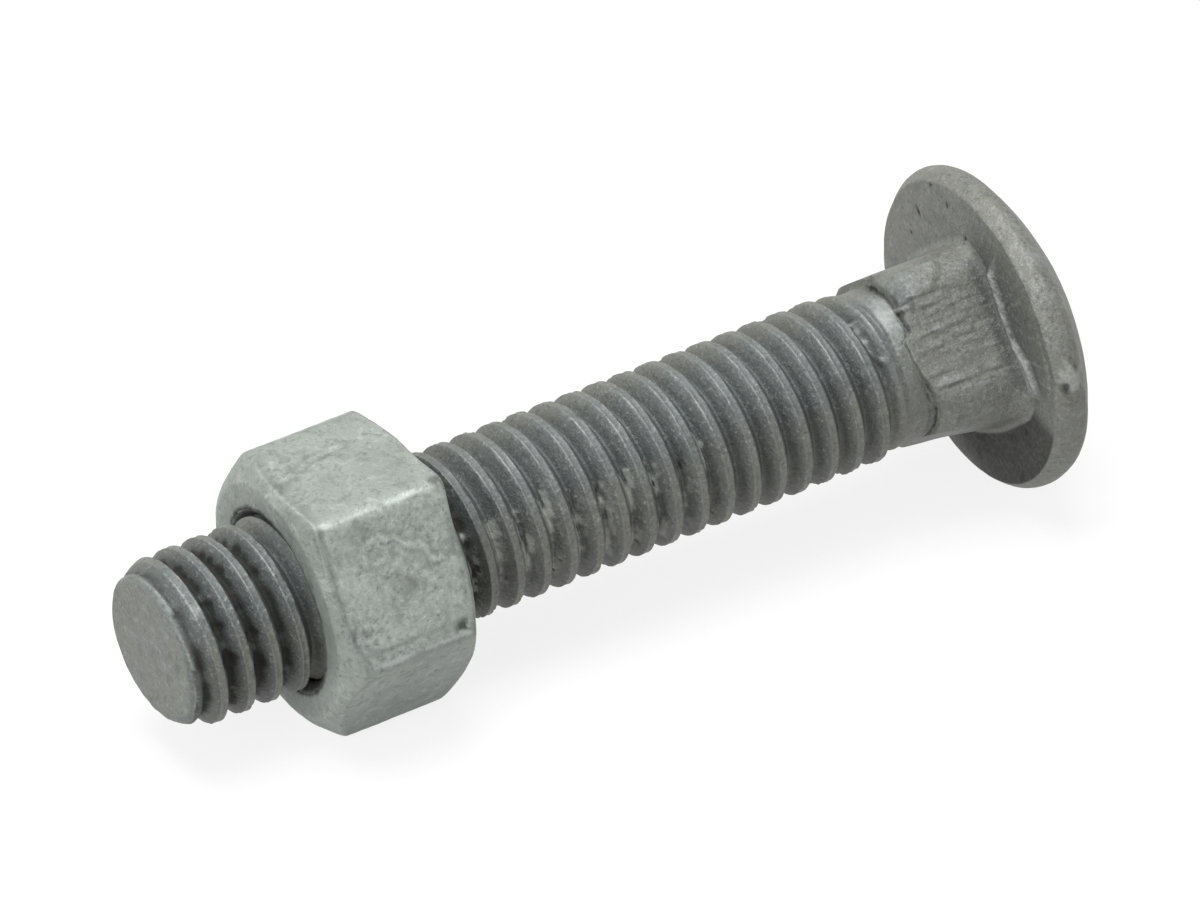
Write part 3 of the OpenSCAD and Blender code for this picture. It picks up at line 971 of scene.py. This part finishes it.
def build_nut(s, n):
    """The nut as one closed skin, upright in the bolt's frame."""
    bm = bmesh.new()
    foot_z = upright("nut_seat").z - n.nut_h
    tip_z = -s.bolt_len
    start_z = tip_z + s.pitch * (math.floor((foot_z - tip_z) / s.pitch) - 1) + s.pitch / 2
    turns = math.ceil(n.nut_h / s.pitch) + 3
    chain = [(r, z + start_z) for r, z in nut_thread_chain(s, n)]
    wind_thread(bm, chain, s.thread_turn, NUT_COLUMNS, s.pitch, turns)
    sink_r = n.bore_r + n.sink

    def bore_rule(angle, r, z):
        z = min(foot_z + n.nut_h, max(foot_z, z))
        off = min(z - foot_z, foot_z + n.nut_h - z)
        return max(r, sink_r - off), z

    reshape(bm.verts, bore_rule)
    weld(bm)
    before = set(bm.verts)
    lathe(bm, [(r, z + foot_z) for r, z in nut_outline(n)], s.thread_turn, NUT_COLUMNS)
    blank = [v for v in bm.verts if v not in before]

    drop = bevel_drop(n)

    def hexagon_rule(angle, r, z):
        if r < n.face_d / 2 - MERGE:
            return r, z
        from_end = min(z - foot_z, foot_z + n.nut_h - z)
        share = corner_bevel(math.degrees(angle), z < foot_z + n.nut_h / 2)
        gap = from_end * share
        if from_end > drop:
            gap = drop * share + (from_end - drop) * (n.nut_h / 2 - drop * share) / (n.nut_h / 2 - drop)
        z += (gap - from_end) * (1 if z < foot_z + n.nut_h / 2 else -1)
        return soft_min(r, outline_radius(angle, 6, n.nut_w, n.corner_r), 0.13 * MM), z

    reshape(blank, hexagon_rule)
    weld(bm)
    dress(bm, nut_marks(n, foot_z))
    return bm


# ---- materials ----

class Socket:
    """A value in a material. Expressions on sockets add the Math nodes they need."""

    def __init__(self, tree, link):
        self.tree = tree
        self.link = link

    def _math(self, operation, a, b):
        return self.tree.node("ShaderNodeMath", {"operation": operation}, [a, b])

    def __add__(self, other):
        return self._math("ADD", self, other)

    def __radd__(self, other):
        return self._math("ADD", other, self)

    def __sub__(self, other):
        return self._math("SUBTRACT", self, other)

    def __rsub__(self, other):
        return self._math("SUBTRACT", other, self)

    def __mul__(self, other):
        return self._math("MULTIPLY", self, other)

    def __rmul__(self, other):
        return self._math("MULTIPLY", other, self)


class Nodes:
    """The nodes of a material or of the world, cleared for new ones."""

    def __init__(self, owner):
        owner.use_nodes = True
        self.nodes = owner.node_tree.nodes
        self.links = owner.node_tree.links
        self.nodes.clear()

    def node(self, kind, settings, inputs, output=0):
        """Adds a node: its settings first, then the values or links of its sockets, and
        returns one of its outputs."""
        made = self.nodes.new(kind)
        for key, value in settings.items():
            setattr(made, key, value)
        pairs = inputs.items() if isinstance(inputs, dict) else enumerate(inputs)
        for key, value in pairs:
            if isinstance(value, Socket):
                self.links.new(value.link, made.inputs[key])
            else:
                made.inputs[key].default_value = value
        return Socket(self, made.outputs[output]) if made.outputs else None

    def seen(self):
        """1 for what the camera sees, directly or in metal or glass, and 0 for what lights."""
        path = self.node("ShaderNodeLightPath", {}, {}, "Is Camera Ray")
        glossy, through = (Socket(self, path.link.node.outputs[ray])
                           for ray in ("Is Glossy Ray", "Is Transmission Ray"))
        return self.node("ShaderNodeMath", {"operation": "ADD", "use_clamp": True},
                         [path + glossy, through])


class Finish(Nodes):
    """A material under construction."""

    def __init__(self, name):
        self.material = bpy.data.materials.new(name)
        super().__init__(self.material)

    def place(self):
        """Where a point of the surface is, in metres."""
        return self.node("ShaderNodeTexCoord", {}, {}, "Object")

    def stretched(self, place, scale):
        """The same place with other scales along x, y and z."""
        return self.node("ShaderNodeMapping", {}, {"Vector": place, "Scale": scale}, "Vector")

    def noise(self, place, scale, detail=3.0, roughness=0.5, distortion=0.0):
        """Cloudy noise, about 0.5 on average."""
        return self.node("ShaderNodeTexNoise", {"noise_dimensions": "3D"},
                         {"Vector": place, "Scale": scale, "Detail": detail,
                          "Roughness": roughness, "Distortion": distortion}, "Fac")

    def ramp(self, value, low, high):
        """0 below low, 1 above high, smooth between. low may be above high."""
        return self.node("ShaderNodeMapRange", {"interpolation_type": "SMOOTHSTEP"},
                         {"Value": value, "From Min": low, "From Max": high,
                          "To Min": 0.0, "To Max": 1.0}, "Result")

    def mix(self, factor, a, b):
        """Colour a where factor is 0, b where it is 1."""
        a, b = [(*c, 1) if not isinstance(c, Socket) else c for c in (a, b)]
        return self.node("ShaderNodeMix", {"data_type": "RGBA", "clamp_factor": True},
                         {0: factor, 6: a, 7: b}, 2)

    def layered(self, base, layers):
        """A base colour with more colours over it in turn, each as strong as its factor."""
        for factor, over in layers:
            base = self.mix(factor, base, over)
        return base

    def mask(self, name):
        """A mask that the mesh carries."""
        return self.node("ShaderNodeAttribute", {"attribute_name": name}, {}, "Fac")

    def bump(self, height, distance, normal=None):
        """Bump of a height that goes from 0 to 1 over a distance in metres."""
        inputs = {"Height": height, "Distance": distance, "Strength": 1.0}
        if normal:
            inputs["Normal"] = normal
        return self.node("ShaderNodeBump", {}, inputs, "Normal")

    def close(self, **sockets):
        """Ends in a Principled BSDF with these sockets, and returns the material."""
        shader = self.node("ShaderNodeBsdfPrincipled", {},
                           {name.replace("_", " "): value for name, value in sockets.items()})
        self.node("ShaderNodeOutputMaterial", {}, {"Surface": shader})
        return self.material


def bolt_zinc(c):
    """Dull galvanised coat of the bolt: cloudy and gritty, streaked where it was drawn."""
    f = Finish("bolt zinc")
    p = f.place()
    shade_and_dull_zinc, dross, dirt_and_shade, rub_and_highlight, cool, drawn = (f.mask(name) for name in MARKS)
    broad = f.noise(p, 330, 3)
    mid = f.noise(p, 1300, 4, 0.6)
    fine = f.noise(p, 4200, 4, 0.65)
    grit = f.noise(p, 9000, 3, 0.6)
    streaks = f.noise(f.stretched(p, (0.12, 1, 1)), 3600, 3, 0.6, 0.3)
    torn = f.ramp(dross + (fine - 0.5) * 0.7, 0.05, 0.95)
    grime_and_shade = f.ramp(dirt_and_shade + (fine - 0.5) * 0.8, 0.15, 0.85)
    base = f.layered(c.bolt_warm, [
        (f.ramp(cool + (broad - 0.5) * 0.9, 0.05, 0.60), c.bolt),
        (f.ramp(mid, 0.54, 0.72) * 0.35, c.bolt_pale),
        (f.ramp(mid, 0.47, 0.30) * 0.40, c.bolt_dark),
        # painted shade in grooves and creases
        (f.ramp(shade_and_dull_zinc + (mid - 0.5) * 0.4, 0.0, 1.0) * 0.80, c.bolt_dark),
        (drawn * f.ramp(streaks, 0.54, 0.68) * 0.14, c.bolt_pale),
        (drawn * f.ramp(streaks, 0.47, 0.36) * 0.22, c.bolt_dark),
        (f.ramp(fine, 0.56, 0.68) * 0.38, c.bolt_pale),
        (f.ramp(fine, 0.45, 0.32) * 0.55, c.bolt_dark),
        (f.ramp(grit, 0.56, 0.70) * 0.30, c.bolt_pale),
        (f.ramp(grit, 0.44, 0.30) * 0.40, c.bolt_dark),
        # rubbed zinc and painted highlights
        (f.ramp(rub_and_highlight + (fine - 0.5) * 0.8, 0.05, 0.95) * 0.85, c.bolt_pale),
        (torn * 0.85, c.dross),
        # dirt and painted shade
        (grime_and_shade * 0.92, c.dirt_and_shade),
    ])
    relief = f.bump(mid * 0.8 + fine * 1.1 + drawn * streaks * 0.7, 0.06 * MM)
    return f.close(Base_Color=base, Metallic=0.2, Roughness=0.52 + grime_and_shade * 0.3 + (grit - 0.5) * 0.3,
                   Normal=f.bump(grit, 0.014 * MM, relief))


def nut_zinc(c):
    """Pale, finely mottled galvanised coat of the nut, with faint wandering lines."""
    f = Finish("nut zinc")
    p = f.place()
    shade_and_dull_zinc, dirt_and_shade, rub_and_highlight = (f.mask(name) for name in ("shade_and_dull_zinc", "dirt_and_shade", "rub_and_highlight"))
    broad = f.noise(p, 300, 3)
    mottle = f.noise(p, 850, 5, 0.62, 1.0)
    specks = f.noise(p, 2100, 4, 0.65, 0.6)
    fine = f.noise(p, 4200, 4, 0.7)
    grit = f.noise(p, 9000, 3, 0.6)
    line = f.node("ShaderNodeMath", {"operation": "ABSOLUTE"}, [f.noise(p, 420, 2, 0.5, 1.2) - 0.5])
    grime_and_shade = f.ramp(dirt_and_shade + (fine - 0.5) * 0.8, 0.15, 0.85)
    base = f.layered(c.nut, [
        (f.ramp(broad, 0.35, 0.65) * 0.30, c.nut_dark),
        (f.ramp(mottle, 0.49, 0.33) * 0.60, c.nut_dark),
        (f.ramp(mottle, 0.54, 0.70) * 0.40, c.nut_pale),
        (f.ramp(specks + (broad - 0.5) * 0.3, 0.45, 0.32) * 0.70, c.nut_dark),
        (f.ramp(fine, 0.43, 0.30) * 0.45, c.bolt_dark),
        (f.ramp(fine, 0.58, 0.72) * 0.35, c.nut_pale),
        (f.ramp(line, 0.014, 0.003) * f.ramp(mottle, 0.44, 0.54) * 0.35, c.nut_dark),
        # painted shade with duller zinc, then rubbed zinc with painted highlights, then dirt with painted
        # shade
        (shade_and_dull_zinc * 0.85, c.bolt_dark),
        (f.ramp(rub_and_highlight + (fine - 0.5) * 1.0, 0.15, 0.95) * 0.85, c.nut_pale),
        (grime_and_shade * 0.85, c.dirt_and_shade),
    ])
    relief = f.bump(mottle * 0.9 + specks * 0.8 + fine * 0.5, 0.05 * MM)
    return f.close(Base_Color=base, Metallic=0.2, Roughness=0.48 + grime_and_shade * 0.3 + (grit - 0.5) * 0.3,
                   Normal=f.bump(grit, 0.012 * MM, relief))


# ---- operators and panel ----

class FASTENER_OT_carriage_bolt(bpy.types.Operator):
    """Model the carriage bolt: thread, tip, shoulder, square neck and round head in one skin"""
    bl_idname = "fastener.carriage_bolt"
    bl_label = "Carriage bolt"

    def execute(self, context):
        sizes = context.scene.bolt_sizes
        finished_mesh(build_bolt(sizes), "bolt_skin", "bolt", "carriage_bolt",
                      bolt_zinc(context.scene.zinc_colours))
        return {"FINISHED"}


class FASTENER_OT_hex_nut(bpy.types.Operator):
    """Model the hex nut with its own thread"""
    bl_idname = "fastener.hex_nut"
    bl_label = "Hex nut"

    def execute(self, context):
        sizes = context.scene.bolt_sizes
        finished_mesh(build_nut(sizes, context.scene.nut_sizes), "nut_skin", "nut", "hex_nut",
                      nut_zinc(context.scene.zinc_colours))
        return {"FINISHED"}


# The stage, with places in mm. The lamps look at the middle. For each lamp: its name, place, size
# in metres and power.
MIDDLE = (0, 0, 9)
LAMPS = (("lamp above", (-50, 20, 450), 0.30, 2.2), ("lamp left", (-450, -150, 220), 0.25, 1.2))
SURROUNDINGS = 0.38             # light of the surroundings
CAMERA_PLACE = (-189.41, -318.97, 265.37)
CAMERA_TARGET = (-0.10, 0.23, 9.37)
CAMERA_ROLL = -0.219            # in degrees
LENS = 260                      # in mm, on a sensor 36 mm wide


def add_lamp(name, place, size, power):
    """A soft square lamp that looks at the middle."""
    data = bpy.data.lights.new(name, "AREA")
    data.shape = "SQUARE"
    data.size = size
    data.energy = power
    lamp = in_scene(name, data)
    lamp.location = Vector(place) * MM
    lamp.rotation_euler = (Vector(MIDDLE) - Vector(place)).to_track_quat("-Z", "Y").to_euler()


def add_camera():
    """The camera: above the bolt, to the side of its tip, far off behind a long lens."""
    place = Vector(CAMERA_PLACE) * MM
    roll = Matrix.Rotation(math.radians(CAMERA_ROLL), 3, "Z")
    data = bpy.data.cameras.new("camera")
    data.lens = LENS
    data.sensor_width = 36
    data.clip_start = 0.01
    camera = in_scene("camera", data)
    look = (Vector(CAMERA_TARGET) * MM - place).to_track_quat("-Z", "Y").to_matrix()
    camera.matrix_world = Matrix.Translation(place) @ (look @ roll).to_4x4()
    bpy.context.scene.camera = camera


def add_floor():
    """A pale floor. It looks white from afar, and keeps the object's shadow."""
    bm = bmesh.new()
    bmesh.ops.create_grid(bm, x_segments=1, y_segments=1, size=1.5)
    mesh = bpy.data.meshes.new("floor")
    bm.to_mesh(mesh)
    bm.free()
    floor = in_scene("floor", mesh)
    f = Finish("floor")
    plain = f.node("ShaderNodeBsdfDiffuse", {}, {"Color": (0.5, 0.5, 0.5, 1)})
    white = f.node("ShaderNodeEmission", {}, {"Color": (1, 1, 1, 1), "Strength": 1.2})
    surface = f.node("ShaderNodeMixShader", {}, [f.seen() * 0.7, plain, white])
    f.node("ShaderNodeOutputMaterial", {}, {"Surface": surface})
    mesh.materials.append(f.material)


def add_world(level):
    """Even surroundings that light the object at a level, and look white themselves."""
    world = bpy.data.worlds.new("studio")
    bpy.context.scene.world = world
    f = Nodes(world)
    strength = f.node("ShaderNodeMapRange", {}, {"Value": f.seen(), "To Min": level, "To Max": 1.0},
                      "Result")
    background = f.node("ShaderNodeBackground", {}, {"Color": (1, 1, 1, 1), "Strength": strength})
    f.node("ShaderNodeOutputWorld", {}, {"Surface": background})


class FASTENER_OT_stage(bpy.types.Operator):
    """Set up floor, lamps, surroundings and camera"""
    bl_idname = "fastener.stage"
    bl_label = "Stage"

    def execute(self, context):
        context.scene.view_settings.view_transform = "Standard"
        add_floor()
        add_world(SURROUNDINGS)
        for name, place, size, power in LAMPS:
            add_lamp(name, place, size, power)
        add_camera()
        return {"FINISHED"}


class FASTENER_PT_panel(bpy.types.Panel):
    """Buttons for the pieces and the stage"""
    bl_label = "Fastener"
    bl_idname = "FASTENER_PT_panel"
    bl_space_type = "VIEW_3D"
    bl_region_type = "UI"
    bl_category = "Fastener"

    def draw(self, context):
        for operator in OPERATORS:
            self.layout.operator(operator.bl_idname)


GROUPS = {"bolt_sizes": BoltSizes, "nut_sizes": NutSizes, "zinc_colours": ZincColours}
OPERATORS = (FASTENER_OT_carriage_bolt, FASTENER_OT_hex_nut, FASTENER_OT_stage)


def register():
    """Registers the classes and hangs the groups on the scene."""
    for cls in (*GROUPS.values(), *OPERATORS, FASTENER_PT_panel):
        bpy.utils.register_class(cls)
    for name, group in GROUPS.items():
        setattr(bpy.types.Scene, name, bpy.props.PointerProperty(type=group))


def unregister():
    """Takes everything back."""
    for name in GROUPS:
        delattr(bpy.types.Scene, name)
    for cls in reversed((*GROUPS.values(), *OPERATORS, FASTENER_PT_panel)):
        bpy.utils.unregister_class(cls)


def main():
    register()
    bpy.ops.fastener.carriage_bolt()
    bpy.ops.fastener.hex_nut()
    bpy.ops.fastener.stage()


if __name__ == "__main__":
    main()
